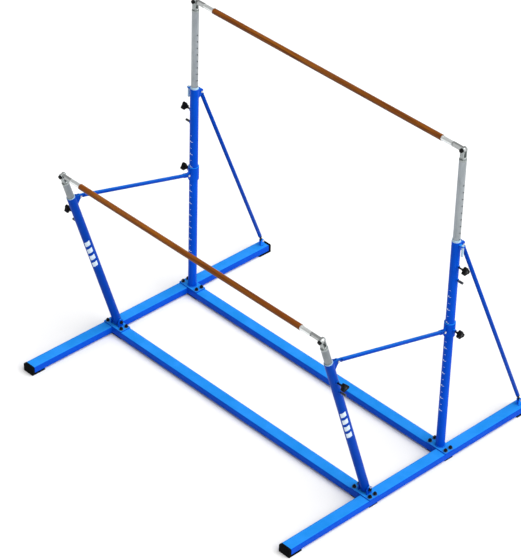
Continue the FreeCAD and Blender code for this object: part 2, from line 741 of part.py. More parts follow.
def make_linkage():
    brace_bolts = []
    foot_brackets = []
    eyes = []
    for side, sign in SIDES.items():
        x = sign * HALF
        save("collar_" + side, collar(sign))
        save("strut_" + side, strut(x))
        mast_end = leaning_point(x, BRACKET_OUT, BRACKET_UP)
        mast_bolt = lug_bolt(x, mast_end.y, mast_end.z, LUG_GAP + LUG_T + 0.5)
        save("strut_bolts_" + side, mast_bolt, lug_bolt(x, LINK_Y, LINK_Z, 11.0))
        save("brace_" + side, brace(sign))
        eyes.append(brace_eye(sign))
        foot_brackets.append(brace_foot_bracket(sign))
        half_length = LUG_GAP + LUG_T
        brace_bolts.append(lug_bolt(x, BRACE_TOP.y, BRACE_TOP.z, half_length))
        foot_x = sign * BRACE_FOOT.x
        brace_bolts.append(lug_bolt(foot_x, BRACE_FOOT.y, BRACE_FOOT.z, half_length))
    save("brace_bolts", *brace_bolts)
    save("brace_eyes", *eyes)
    save("brace_foot_brackets", *foot_brackets)


# ---- clamp knobs and index plungers -------------------------------------------------------
def clamp_knob(sign, clearance_r):
    """Three-lobed knob on its screw, drawn along X from the mast's axis."""
    def at(distance):
        return Vector(sign * distance, 0, 0)

    screw = cylinder(SCREW_R, at(clearance_r + GAP), at(CLAMP_KNOB_X + 4))
    hub = cone(9.0, 13.0, at(CLAMP_KNOB_X - 14), at(CLAMP_KNOB_X + 1))
    start = at(CLAMP_KNOB_X)
    end = at(CLAMP_KNOB_X + CLAMP_KNOB_T)
    knob = cylinder(KNOB_CORE_R, start, end)
    for lobe in range(3):
        angle = math.radians(90 + 120 * lobe)
        offset = Vector(0, KNOB_LOBE_OUT * math.cos(angle), KNOB_LOBE_OUT * math.sin(angle))
        knob = knob.fuse(cylinder(KNOB_LOBE_R, start + offset, end + offset))
    return knob.removeSplitter().fuse(hub).fuse(screw).removeSplitter()


def plunger(sign):
    """Index plunger, parked with its tip just clear of the inner tube."""
    def at(distance):
        return Vector(sign * distance, 0, 0)

    tip = INNER_R + GAP
    pin = cylinder(PLUNGER_R - 1.0, at(tip), at(tip + 2)).fuse(
        cylinder(PLUNGER_R, at(tip + 2), at(PLUNGER_SHOULDER))
    )
    grip = cylinder(PLUNGER_GRIP_R, at(PLUNGER_SHOULDER), at(PLUNGER_END))
    grip = grip.makeFillet(2.5, [edge for edge in grip.Edges if len(edge.Vertexes) == 1])
    return pin.fuse(grip).removeSplitter()


def make_controls():
    for side, sign in SIDES.items():
        place = X * (sign * HALF)
        high_knob = clamp_knob(sign, INNER_R)
        high_knob.translate(place + Y * HIGH_Y + Z * HIGH_CLAMP_Z)
        save("high_clamp_knob_" + side, high_knob)
        collar_knob = clamp_knob(sign, OUTER_R)
        collar_knob.translate(place + Y * HIGH_Y + Z * COLLAR_Z)
        save("collar_knob_" + side, collar_knob)
        high_plunger = plunger(sign)
        high_plunger.translate(place + Y * HIGH_Y + Z * HIGH_PLUNGER_Z)
        save("high_plunger_" + side, high_plunger)
        low_knob = clamp_knob(sign, INNER_R)
        low_knob.translate(place + Z * LOW_CLAMP)
        save("low_clamp_knob_" + side, lean(low_knob))
        low_plunger = plunger(sign)
        low_plunger.translate(place + Z * LOW_PLUNGER)
        save("low_plunger_" + side, lean(low_plunger))


def main():
    os.makedirs("parts", exist_ok=True)
    make_beams()
    make_plates()
    make_base_bolts()
    make_end_caps()
    make_high_masts()
    make_low_masts()
    make_foot_hinge_bolts()
    make_rail("high_rail", HIGH_RAIL_Z, to_high_masts)
    make_rail("low_rail", LOW_RAIL, lean)
    make_linkage()
    make_controls()


main()
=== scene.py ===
import json
import math

import bmesh
import bpy
from mathutils import Matrix, Vector


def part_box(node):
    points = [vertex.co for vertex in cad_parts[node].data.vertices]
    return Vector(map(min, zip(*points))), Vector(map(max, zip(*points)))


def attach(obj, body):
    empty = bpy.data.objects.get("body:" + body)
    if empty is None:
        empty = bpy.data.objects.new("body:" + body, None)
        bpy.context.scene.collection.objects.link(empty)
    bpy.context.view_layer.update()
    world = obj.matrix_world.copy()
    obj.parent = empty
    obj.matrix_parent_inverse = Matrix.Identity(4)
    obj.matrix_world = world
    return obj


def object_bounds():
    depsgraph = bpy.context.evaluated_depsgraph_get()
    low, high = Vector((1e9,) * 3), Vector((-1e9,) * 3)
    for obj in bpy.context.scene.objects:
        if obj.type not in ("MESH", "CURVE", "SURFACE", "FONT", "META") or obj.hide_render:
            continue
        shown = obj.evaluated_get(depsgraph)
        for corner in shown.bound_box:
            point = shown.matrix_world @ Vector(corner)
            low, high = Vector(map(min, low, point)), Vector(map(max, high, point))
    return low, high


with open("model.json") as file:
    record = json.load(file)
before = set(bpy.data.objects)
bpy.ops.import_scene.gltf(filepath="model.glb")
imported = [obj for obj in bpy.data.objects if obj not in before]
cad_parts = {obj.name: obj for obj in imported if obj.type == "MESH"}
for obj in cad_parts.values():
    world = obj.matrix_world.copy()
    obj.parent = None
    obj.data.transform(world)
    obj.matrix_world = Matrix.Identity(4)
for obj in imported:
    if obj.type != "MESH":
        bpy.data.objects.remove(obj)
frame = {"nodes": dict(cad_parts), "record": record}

# The looks of a set of uneven parallel bars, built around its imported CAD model. Metres, the same
# frame as the CAD: +Z up, +X along the rails, +Y from the low rail to the high rail.

CAD_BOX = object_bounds()
NODES = frame["nodes"]
SIDES = {"left": -1, "right": 1}
LEAN = math.radians(18.24)       # the low masts, from upright towards -Y
HALF_NUT = 0.0087                # half of a lug bolt's nut, across its corners
TUBE_R = 0.03015                 # outer mast tubes
WASHER_T = 0.003                 # washers of the corner bolts
LOW_CLAMP = 1.075                # along a leaning mast, from its foot hinge to its clamp screw
LOW_RAIL = 1.4536                # the same, to the pin of the low rail
RAIL_EYE_FROM = 1.108            # where a rail's end sleeve turns into its eye, from the middle
CLAMP_HEIGHTS = {"high_clamp_knob_": 1.500, "collar_knob_": 1.013}    # of the screw's axis
UP = Vector((0, 0, 1))


# ---- places read from the CAD -------------------------------------------------------------
def middle(node):
    low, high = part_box(node)
    return (low + high) / 2


def foot_hinge(side):
    """The foot hinge of a leaning mast, on the mast's axis."""
    hinge = middle("foot_hinge_bolts")
    return Vector((middle("low_bush_" + side).x, hinge.y, hinge.z))


def leaning(side, out, across, along):
    """A point beside a leaning mast's axis: across is +X, out is the side of the high masts."""
    hinge = foot_hinge(side)
    return hinge + Vector(
        (
            across,
            out * math.cos(LEAN) - along * math.sin(LEAN),
            out * math.sin(LEAN) + along * math.cos(LEAN),
        )
    )


def upright(side):
    """The axis of an upright mast at floor level."""
    axis = middle("high_inner_" + side)
    return Vector((axis.x, axis.y, 0))


def brace_pins(side):
    """The pins at the top and the foot of a brace."""
    low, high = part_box("brace_bolts")
    top = Vector((upright(side).x, low.y + HALF_NUT, high.z - HALF_NUT))
    foot = Vector((middle("side_beam_" + side).x, high.y - HALF_NUT, low.z + HALF_NUT))
    return top, foot


# ---- materials ----------------------------------------------------------------------------
MIX_ONE, MIX_TWO, MIX_RESULT = 6, 7, 2           # the colour sockets of Blender's Mix node


class Surface:
    """One procedural material: each method adds nodes and returns the output to use next."""

    def __init__(self, name, metallic=0.0):
        self.material = bpy.data.materials.new(name)
        self.material.use_nodes = True
        self.nodes = self.material.node_tree.nodes
        self.links = self.material.node_tree.links
        self.shader = self.nodes["Principled BSDF"]
        self.shader.inputs["Metallic"].default_value = metallic
        self.place = self.nodes.new("ShaderNodeTexCoord").outputs["Object"]
        self.last_normal = None

    def put(self, node, socket, value):
        target = node.inputs[socket]
        if isinstance(value, bpy.types.NodeSocket):
            self.links.new(value, target)
        else:
            target.default_value = value

    def stretched(self, scale, turn=(0.0, 0.0, 0.0)):
        node = self.nodes.new("ShaderNodeMapping")
        self.put(node, "Vector", self.place)
        self.put(node, "Rotation", turn)
        self.put(node, "Scale", scale)
        return node.outputs["Vector"]

    def noise(self, scale, detail=3.0, rough=0.5, where=None, warp=0.0):
        node = self.nodes.new("ShaderNodeTexNoise")
        self.put(node, "Vector", where or self.place)
        self.put(node, "Scale", scale)
        self.put(node, "Detail", detail)
        self.put(node, "Roughness", rough)
        self.put(node, "Distortion", warp)
        return node.outputs["Fac"]

    def cells(self, scale, where=None):
        node = self.nodes.new("ShaderNodeTexVoronoi")
        self.put(node, "Vector", where or self.place)
        self.put(node, "Scale", scale)
        return node.outputs["Distance"]

    def third(self, vector):
        node = self.nodes.new("ShaderNodeSeparateXYZ")
        self.put(node, "Vector", vector)
        return node.outputs["Z"]

    def upward(self):
        """How far the surface faces up, from -1 to 1."""
        return self.third(self.nodes["Texture Coordinate"].outputs["Normal"])

    def height(self):
        return self.third(self.place)

    def from_middle(self):
        """Distance along X from the middle of the whole object."""
        node = self.nodes.new("ShaderNodeSeparateXYZ")
        self.put(node, "Vector", self.place)
        size = self.nodes.new("ShaderNodeMath")
        size.operation = "ABSOLUTE"
        self.links.new(node.outputs["X"], size.inputs[0])
        return size.outputs["Value"]

    def remap(self, value, low, high, to_low=0.0, to_high=1.0):
        node = self.nodes.new("ShaderNodeMapRange")
        self.put(node, "Value", value)
        for socket, number in (
            ("From Min", low), ("From Max", high), ("To Min", to_low), ("To Max", to_high)
        ):
            self.put(node, socket, number)
        return node.outputs["Result"]

    def product(self, one, two):
        node = self.nodes.new("ShaderNodeMath")
        node.operation = "MULTIPLY"
        self.links.new(one, node.inputs[0])
        self.links.new(two, node.inputs[1])
        return node.outputs["Value"]

    def ramp(self, value, *stops):
        node = self.nodes.new("ShaderNodeValToRGB")
        self.put(node, "Fac", value)
        elements = node.color_ramp.elements
        while len(elements) < len(stops):
            elements.new(0.5)
        for element, (position, colour) in zip(elements, stops):
            element.position = position
            element.color = (*colour, 1.0)
        return node.outputs["Color"]

    def mix(self, fac, one, two):
        node = self.nodes.new("ShaderNodeMix")
        node.data_type = "RGBA"
        self.links.new(fac, node.inputs["Factor"])
        for index, colour in ((MIX_ONE, one), (MIX_TWO, two)):
            if isinstance(colour, bpy.types.NodeSocket):
                self.links.new(colour, node.inputs[index])
            else:
                node.inputs[index].default_value = (*colour, 1.0)
        return node.outputs[MIX_RESULT]

    def bump(self, height, depth, strength=1.0):
        """Adds relief of that depth in metres, on top of any relief already there."""
        node = self.nodes.new("ShaderNodeBump")
        self.put(node, "Height", height)
        self.put(node, "Distance", depth)
        self.put(node, "Strength", strength)
        if self.last_normal is not None:
            self.put(node, "Normal", self.last_normal)
        self.last_normal = node.outputs["Normal"]
        self.put(self.shader, "Normal", self.last_normal)

    def colour(self, value):
        self.put(self.shader, "Base Color", value)

    def rough(self, value):
        self.put(self.shader, "Roughness", value)

    def fixed(self, **values):
        """Plain numbers set on the shader's own sockets."""
        for name, value in values.items():
            self.shader.inputs[name.replace("_", " ")].default_value = value
        return self.material


def shade_of(colour, tone):
    return tuple(channel * tone for channel in colour)


BLUE = ((0.0, 0.056, 0.47), (0.0, 0.074, 0.58))
# the lighter blue of the painted top light, for faces that look up
TOP_LIT_BLUE = ((0.010, 0.225, 0.70), (0.022, 0.265, 0.82))
SCUFFED_BLUE = (0.02, 0.17, 0.66)
BLUE_SPECK = (0.05, 0.22, 0.65)
TOP_LIGHT_FULL = 0.98                  # where a face that looks up gets the full painted top light


def blue_paint(name, tone, top_light_from, top_light, lit_all_over=0.0):
    """Powder-coated blue: slow shade changes, orange peel, dust specks and fine scuffs.
    Faces that look up get a lighter blue, a painted top light: it starts at top_light_from and its
    strength is top_light. A part painted as lit all over, a painted highlight, has lit_all_over
    above zero."""
    s = Surface(name)
    shade = s.ramp(
        s.noise(3.0, 4.0, 0.6),
        (0.30, shade_of(BLUE[0], tone)),
        (0.70, shade_of(BLUE[1], tone)),
    )
    top_lit = s.ramp(s.noise(7.0, 4.0, 0.6), (0.30, TOP_LIT_BLUE[0]), (0.70, TOP_LIT_BLUE[1]))
    # painted top light: faces that look up are mixed towards the lighter blue
    body = s.mix(s.remap(s.upward(), top_light_from, TOP_LIGHT_FULL, lit_all_over, top_light), shade, top_lit)
    scuffs = s.remap(s.noise(26.0, 6.0, 0.7, s.stretched((1.0, 1.0, 0.25)), 0.4), 0.60, 0.72)
    specks = s.remap(s.cells(240.0), 0.05, 0.02)
    worn = s.mix(s.product(scuffs, s.remap(s.noise(4.0), 0.45, 0.8, 0.0, 0.45)), body,
                 shade_of(SCUFFED_BLUE, tone))
    dusty = s.product(specks, s.remap(s.noise(9.0), 0.5, 0.6, 0.0, 0.6))
    s.colour(s.mix(dusty, worn, BLUE_SPECK))
    s.rough(s.remap(s.noise(60.0, 5.0, 0.65), 0.3, 0.7, 0.26, 0.38))
    s.bump(s.noise(170.0, 2.0, 0.4), 0.0004, 0.35)
    s.bump(s.noise(22.0, 1.0, 0.4), 0.0008, 0.15)
    return s.fixed(Specular_IOR_Level=0.035)


def mast_steel(name, tone):
    """Zinc-plated tube: drawn lines along its length, faint stains, rubbed bands."""
    s = Surface(name, metallic=0.85)
    lines = s.noise(1.0, 3.0, 0.6, s.stretched((420.0, 420.0, 6.0)))
    stains = s.noise(14.0, 5.0, 0.6, s.stretched((1.0, 1.0, 0.5)), 0.6)
    grey = s.ramp(
        stains,
        (0.30, shade_of((0.80, 0.88, 0.92), tone)),
        (0.52, shade_of((0.97, 1.06, 1.11), tone)),
        (0.75, shade_of((1.12, 1.20, 1.25), tone)),
    )
    s.colour(s.mix(s.remap(lines, 0.35, 0.65, 0.0, 0.40), grey, shade_of((0.72, 0.79, 0.83), tone)))
    s.rough(s.remap(lines, 0.3, 0.7, 0.30, 0.46))
    s.bump(lines, 0.00012, 0.5)
    s.bump(s.noise(90.0, 3.0), 0.0002, 0.2)
    return s.fixed(Specular_IOR_Level=0.3)


def cast_head():
    """Silver-painted casting: sand texture and a darker mottling at random."""
    s = Surface("cast_head", metallic=0.7)
    grain = s.noise(420.0, 4.0, 0.6)
    s.colour(s.ramp(
        s.noise(40.0, 5.0, 0.6),
        (0.30, (0.27, 0.30, 0.295)),
        (0.70, (0.42, 0.45, 0.445)),
    ))
    s.rough(s.remap(grain, 0.3, 0.7, 0.36, 0.54))
    s.bump(grain, 0.0005, 0.5)
    s.bump(s.cells(160.0), 0.0004, 0.25)
    return s.material


def rail_wood():
    """Lacquered beech laminate: long grain, pores, redder heart streaks and chalk wear; faces that
    look down are darker, a painted shade.
    """
    s = Surface("rail_wood")
    along = s.stretched((1.0, 26.0, 26.0))
    grain = s.noise(2.2, 6.0, 0.62, along, 0.9)
    streaks = s.noise(1.1, 3.0, 0.5, s.stretched((1.6, 9.0, 9.0)), 0.5)
    tone = s.ramp(
        grain,
        (0.28, (0.080, 0.020, 0.001)),
        (0.46, (0.185, 0.048, 0.002)),
        (0.62, (0.290, 0.088, 0.004)),
        (0.80, (0.420, 0.170, 0.018)),
    )
    red = s.mix(s.remap(streaks, 0.45, 0.70, 0.0, 0.65), tone, (0.190, 0.040, 0.003))
    pores = s.noise(1.0, 2.0, 0.5, s.stretched((55.0, 900.0, 900.0)))
    pored = s.mix(s.remap(pores, 0.62, 0.72, 0.0, 0.55), red, (0.070, 0.022, 0.006))
    chalk = s.product(
        s.remap(s.noise(2.4, 3.0, 0.6), 0.52, 0.72), s.remap(s.noise(120.0, 5.0, 0.7), 0.5, 0.66)
    )
    handled = s.mix(s.remap(chalk, 0.0, 1.0, 0.0, 0.30), pored, (0.42, 0.27, 0.14))
    # painted shade: faces that look down are mixed towards a dark brown
    s.colour(s.mix(s.remap(s.upward(), 0.55, -0.35, 0.0, 0.60), handled, (0.060, 0.014, 0.001)))
    s.rough(s.remap(grain, 0.3, 0.7, 0.46, 0.32))
    s.bump(pores, 0.0003, 0.35)
    s.bump(grain, 0.0005, 0.20)
    return s.fixed(Specular_IOR_Level=0.14)


def rail_core():
    """Glass-fibre rod inside the rail."""
    s = Surface("rail_core")
    fibres = s.noise(1.0, 3.0, 0.6, s.stretched((8.0, 700.0, 700.0)))
    s.colour(s.ramp(fibres, (0.35, (0.42, 0.40, 0.30)), (0.65, (0.62, 0.60, 0.48))))
    s.rough(s.remap(fibres, 0.3, 0.7, 0.35, 0.55))
    s.bump(fibres, 0.0002, 0.4)
    return s.material


def turned_steel(name, low, high, roughness, eye_from=None, eye_tone=0.5):
    """Machined and plated steel: fine tool lines and a mottled plating. Beyond eye_from, measured
    along X from the middle, the forged eye is left darker."""
    s = Surface(name, metallic=1.0)
    lines = s.noise(1.0, 3.0, 0.6, s.stretched((900.0, 120.0, 120.0)))
    plating = s.ramp(s.noise(70.0, 5.0, 0.6), (0.3, low), (0.7, high))
    if eye_from is not None:
        forged = s.ramp(s.noise(110.0, 5.0, 0.65), (0.3, shade_of(low, eye_tone)),
                        (0.7, shade_of(high, eye_tone)))
        plating = s.mix(s.remap(s.from_middle(), eye_from, eye_from + 0.004), plating, forged)
        # painted shade: faces that look down are mixed towards a darker steel
        shaded = s.remap(s.upward(), 0.1, -0.7, 0.0, 0.6)
        plating = s.mix(shaded, plating, shade_of(low, 0.35))
    s.colour(plating)
    s.rough(s.remap(lines, 0.3, 0.7, roughness - 0.07, roughness + 0.08))
    s.bump(lines, 0.0001, 0.4)
    return s.material


def black_bolt(name, washer_top=None):
    """Black oxide steel, a little brown and worn to metal in spots; zinc below washer_top."""
    s = Surface(name, metallic=0.85)
    wear = s.remap(s.noise(260.0, 6.0, 0.7), 0.60, 0.72)
    tone = s.ramp(s.noise(45.0, 4.0), (0.3, (0.006, 0.006, 0.006)), (0.7, (0.015, 0.014, 0.013)))
    black = s.mix(wear, tone, (0.06, 0.06, 0.06))
    if washer_top is not None:
        zinc = s.ramp(s.noise(90.0, 4.0), (0.3, (0.10, 0.22, 0.42)), (0.7, (0.20, 0.34, 0.56)))
        washer = s.remap(s.height(), washer_top + 0.0002, washer_top)
        black = s.mix(washer, black, zinc)
    s.colour(black)
    s.rough(s.remap(wear, 0.0, 1.0, 0.44, 0.30))
    s.bump(s.noise(380.0, 4.0), 0.0003, 0.4)
    return s.material


def black_rubber():
    """Moulded rubber: fine texture, greyer where dust has settled."""
    s = Surface("black_rubber")
    dust = s.remap(s.noise(18.0, 6.0, 0.7), 0.48, 0.75, 0.0, 0.35)
    tone = s.ramp(
        s.noise(6.0, 3.0),
        (0.3, (0.0015, 0.0019, 0.0022)),
        (0.7, (0.0036, 0.0041, 0.0044)),
    )
    s.colour(s.mix(dust, tone, (0.012, 0.013, 0.013)))
    s.rough(s.remap(s.noise(120.0, 4.0), 0.3, 0.7, 0.58, 0.78))
    s.bump(s.cells(520.0), 0.0003, 0.45)
    s.bump(s.noise(60.0, 3.0), 0.0005, 0.25)
    return s.fixed(Specular_IOR_Level=0.02)


def black_plastic():
    """Glass-filled nylon knobs: leather-like spark texture and a soft shine."""
    s = Surface("black_plastic")
    spark = s.cells(650.0)
    s.colour(s.ramp(
        s.noise(55.0, 4.0),
        (0.3, (0.0030, 0.0030, 0.0034)),
        (0.7, (0.0065, 0.0065, 0.0070)),
    ))
    s.rough(s.remap(spark, 0.0, 0.6, 0.34, 0.50))
    s.bump(spark, 0.00025, 0.45)
    return s.fixed(Specular_IOR_Level=0.06)


def nylon():
    """Pale blue nylon: milky, with turning lines and rubbed grey smears."""
    s = Surface("nylon")
    smear = s.remap(s.noise(60.0, 5.0, 0.7), 0.50, 0.75, 0.0, 0.45)
    tone = s.ramp(s.noise(30.0, 3.0), (0.3, (0.34, 0.50, 0.62)), (0.7, (0.44, 0.61, 0.74)))
    s.colour(s.mix(smear, tone, (0.26, 0.32, 0.36)))
    s.rough(s.remap(s.noise(140.0, 4.0), 0.3, 0.7, 0.40, 0.55))
    s.bump(s.noise(1.0, 2.0, 0.5, s.stretched((40.0, 40.0, 900.0))), 0.0001, 0.4)
    return s.fixed(Subsurface_Weight=0.15, Subsurface_Scale=0.004)


def white_mark():
    """Screen-printed white: slightly uneven ink with pinholes and thin worn spots."""
    s = Surface("white_mark")
    worn = s.remap(s.noise(190.0, 5.0, 0.7), 0.62, 0.76, 0.0, 0.5)
    tone = s.ramp(s.noise(40.0, 3.0), (0.3, (0.56, 0.68, 0.78)), (0.7, (0.72, 0.82, 0.90)))
    s.colour(s.mix(worn, tone, (0.25, 0.38, 0.72)))
    s.rough(s.remap(worn, 0.0, 0.5, 0.38, 0.30))
    s.bump(s.noise(260.0, 3.0), 0.0001, 0.4)
    return s.material


def floor_paint():
    """Plain pale studio floor with a trace of mottling."""
    s = Surface("studio_floor")
    s.colour(s.ramp(s.noise(0.8, 3.0), (0.3, (0.86, 0.86, 0.86)), (0.7, (0.90, 0.90, 0.90))))
    s.rough(s.remap(s.noise(30.0, 3.0), 0.3, 0.7, 0.75, 0.85))
    return s.fixed(Specular_IOR_Level=0.1)


FINISHES = {
    "blue_paint": blue_paint("blue_paint", 1.0, 0.80, 1.0),
    # painted shade: a darker copy of the blue paint, for the leaning tubes, struts and braces
    "shaded_blue": blue_paint("shaded_blue", 0.68, 0.60, 0.45),
    # painted highlight: a lighter copy of the blue paint, lit all over, for the brace feet, its
    # blue channel above 1 in places
    "lit_blue": blue_paint("lit_blue", 3.0, 0.60, 1.0, lit_all_over=0.7),
    "mast_steel": mast_steel("mast_steel", 0.36),
    # painted shade: a darker copy of the mast steel, for the leaning inner tubes
    "shaded_steel": mast_steel("shaded_steel", 0.26),
    "cast_head": cast_head(),
    "rail_wood": rail_wood(),
    "rail_core": rail_core(),
    "rail_fitting": turned_steel("rail_fitting", (0.82, 0.85, 0.84), (0.94, 0.97, 0.96), 0.38,
                                 eye_from=RAIL_EYE_FROM),
    "zinc_bolt": turned_steel("zinc_bolt", (0.50, 0.52, 0.53), (0.72, 0.74, 0.74), 0.30),
    "plunger_steel": turned_steel("plunger_steel", (0.05, 0.055, 0.06), (0.10, 0.105, 0.11), 0.34),
    "black_bolt": black_bolt("black_bolt"),
    "base_bolt": black_bolt("base_bolt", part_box("high_foot_plates")[1].z + WASHER_T),
    "black_rubber": black_rubber(),
    "black_plastic": black_plastic(),
    "nylon": nylon(),
    "white_mark": white_mark(),
}


# ---- CAD nodes ----------------------------------------------------------------------------
def node_slots():
    """Each CAD node's material slot, as the record says."""
    return {part["node"]: part["material_slot"] for part in frame["record"]["subparts"]}


SOFT_EDGES = (
    "high_clamp_knob", "collar_knob", "low_clamp_knob", "base_bolts", "high_foot", "low_foot",
    "high_head", "low_head", "brace", "strut", "foot_hinge", "foot_pads", "high_rail_end",
    "low_rail_end", "high_plunger", "low_plunger",
)
EDGE_WIDTH = 0.0008
EDGE_ANGLE = math.radians(40)    # sharper edges than this are rounded
SAME_POINT = 0.00001
# The leaning tubes, struts and braces get the darker copy of the blue paint and the leaning inner
# tubes the darker copy of the mast steel, both painted shade; the brace feet get the lighter copy
# of the blue paint, a painted highlight.
OWN_FINISH = {
    "low_inner": "shaded_steel", "low_post": "shaded_blue", "strut_left": "shaded_blue",
    "strut_right": "shaded_blue", "brace_left": "shaded_blue", "brace_right": "shaded_blue",
    "base_bolts": "base_bolt", "brace_foot": "lit_blue",
}


def finish_of(name, slot):
    for start, finish in OWN_FINISH.items():
        if name.startswith(start):
            return finish
    return slot


def finish_cad_nodes():
    for name, slot in node_slots().items():
        mesh = NODES[name].data
        mesh.materials.clear()
        mesh.materials.append(FINISHES[finish_of(name, slot)])
        if name.startswith(SOFT_EDGES):
            soften(NODES[name])


def soften(thing):
    """Rounds a part's hard edges a little, as deburring and paint do."""
    weld = thing.modifiers.new("weld", "WELD")
    weld.merge_threshold = SAME_POINT
    bevel = thing.modifiers.new("soft_edges", "BEVEL")
    bevel.width = EDGE_WIDTH
    bevel.segments = 2
    bevel.limit_method = "ANGLE"
    bevel.angle_limit = EDGE_ANGLE
    bevel.harden_normals = True


# ---- mesh helpers -------------------------------------------------------------------------
def piece(name, mesh_data, finish, body):
    """Makes an object of a finished bmesh, with its material, on its body."""
    bmesh.ops.recalc_face_normals(mesh_data, faces=mesh_data.faces)
    mesh = bpy.data.meshes.new(name)
    mesh_data.to_mesh(mesh)
    mesh_data.free()
    for face in mesh.polygons:
        face.use_smooth = True
    mesh.materials.append(FINISHES[finish])
    thing = bpy.data.objects.new(name, mesh)
    bpy.context.scene.collection.objects.link(thing)
    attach(thing, body)
    return thing


def add_patch(bm, place, radius, lift, mid, half, low, high, slant=0.0, columns=10, rows=3):
    """A thin closed patch on a tube's surface, from angle mid-half to mid+half and low to high."""
    def layer(r):
        grid = []
        for row in range(rows + 1):
            line = []
            for column in range(columns + 1):
                share = column / columns
                angle = mid + half * (2 * share - 1)
                height = low + (high - low) * row / rows + slant * (share - 0.5)
                line.append(bm.verts.new(place(r * math.cos(angle), r * math.sin(angle), height)))
            grid.append(line)
        return grid

    outer = layer(radius + lift)
    inner = layer(radius - lift)
    for row in range(rows):
        for column in range(columns):
            for grid in (outer, inner):
                bm.faces.new((
                    grid[row][column], grid[row][column + 1],
                    grid[row + 1][column + 1], grid[row + 1][column],
                ))
    edge = [(0, c) for c in range(columns)] + [(r, columns) for r in range(rows)]
    edge += [(rows, c) for c in range(columns, 0, -1)] + [(r, 0) for r in range(rows, 0, -1)]
    for start, end in zip(edge, edge[1:] + edge[:1]):
        bm.faces.new((
            outer[start[0]][start[1]], outer[end[0]][end[1]],
            inner[end[0]][end[1]], inner[start[0]][start[1]],
        ))


def circle(centre, side, other, radius, count):
    """Points round a centre, in the plane of two unit vectors."""
    turns = [2 * math.pi * k / count for k in range(count)]
    return [centre + (side * math.cos(t) + other * math.sin(t)) * radius for t in turns]


def ring_round(centre, direction, radius, count=72):
    """Points round a centre, square to a direction."""
    direction = direction.normalized()
    side = direction.orthogonal().normalized()
    return circle(centre, side, direction.cross(side), radius, count)


NEARLY_UPRIGHT = 0.9


def add_bead(bm, points, radius, closed=False, ripple=0.22, pitch=0.005, around=8):
    """A weld bead along the points, with the ripples that a welder's passes leave."""
    rings = []
    travelled = 0.0
    count = len(points)
    for index, point in enumerate(points):
        before = points[index - 1] if index or closed else point
        after = points[(index + 1) % count] if index + 1 < count or closed else point
        direction = (after - before).normalized()
        if index:
            travelled += (point - points[index - 1]).length
        side = direction.orthogonal().normalized()
        if abs(direction.z) < NEARLY_UPRIGHT:
            side = direction.cross(UP).normalized()
        swell = radius * (1 + ripple * math.sin(2 * math.pi * travelled / pitch))
        ring = circle(point, side, direction.cross(side), swell, around)
        rings.append([bm.verts.new(corner) for corner in ring])
    if not closed:
        bm.faces.new(rings[0])
        bm.faces.new(rings[-1])
    for ring, following in zip(rings, rings[1:] + rings[:1] if closed else rings[1:]):
        for step in range(around):
            nxt = (step + 1) % around
            bm.faces.new((ring[step], ring[nxt], following[nxt], following[step]))


def straight(start, end, step=0.0012):
    count = max(4, int((end - start).length / step))
    return [start.lerp(end, k / count) for k in range(count + 1)]


# ---- printed marks ------------------------------------------------------------------------
INK = 0.0003
SCALE_FROM, SCALE_TO, SCALE_STEP = 0.37, 1.32, 0.05
SCALE_ANGLE = math.radians(-84)          # a little round from -Y towards +X
MARK_ANGLE = math.radians(-42)
LONG_TICK, SHORT_TICK = math.radians(24), math.radians(14)       # half angle round the tube
LONG_HALF, SHORT_HALF = 0.0014, 0.0008                           # half height
DOT_TURN, DOT_HALF = math.radians(10), math.radians(8)
DOT_FROM, DOT_TO = 0.003, 0.009                                  # above its tick
MARKS_FROM = {"left": 0.590, "right": 0.546}     # along the mast from the foot hinge
MARK_COUNT = 4
MARK_PITCH, MARK_HEIGHT, MARK_SLANT = 0.067, 0.041, 0.018
MARK_HALF = math.radians(38)


def make_scales():
    """The height scale printed on the upright tubes: long ticks with a dot, and short ticks."""
    for side in SIDES:
        axis = upright(side)

        def place(x, y, z):
            return axis + Vector((x, y, z))

        bm = bmesh.new()
        count = int(round((SCALE_TO - SCALE_FROM) / SCALE_STEP)) + 1
        for step in range(count):
            height = SCALE_FROM + step * SCALE_STEP
            if step % 2:
                add_patch(bm, place, TUBE_R, INK, SCALE_ANGLE, SHORT_TICK,
                          height - SHORT_HALF, height + SHORT_HALF, rows=1)
            else:
                add_patch(bm, place, TUBE_R, INK, SCALE_ANGLE, LONG_TICK,
                          height - LONG_HALF, height + LONG_HALF, rows=1)
                add_patch(bm, place, TUBE_R, INK * 1.2, SCALE_ANGLE - DOT_TURN, DOT_HALF,
                          height + DOT_FROM, height + DOT_TO, rows=2)
        piece("height_scale_" + side, bm, "white_mark", "base")


def make_post_marks():
    """Four plain slanted stripes on each leaning tube."""
    for side in SIDES:
        def place(x, y, z):
            return leaning(side, y, x, z)

        bm = bmesh.new()
        for index in range(MARK_COUNT):
            low = MARKS_FROM[side] + index * MARK_PITCH
            add_patch(bm, place, TUBE_R, INK, MARK_ANGLE, MARK_HALF,
                      low, low + MARK_HEIGHT, slant=MARK_SLANT, columns=14, rows=5)
        piece("post_marks_" + side, bm, "white_mark", "low_post_" + side)


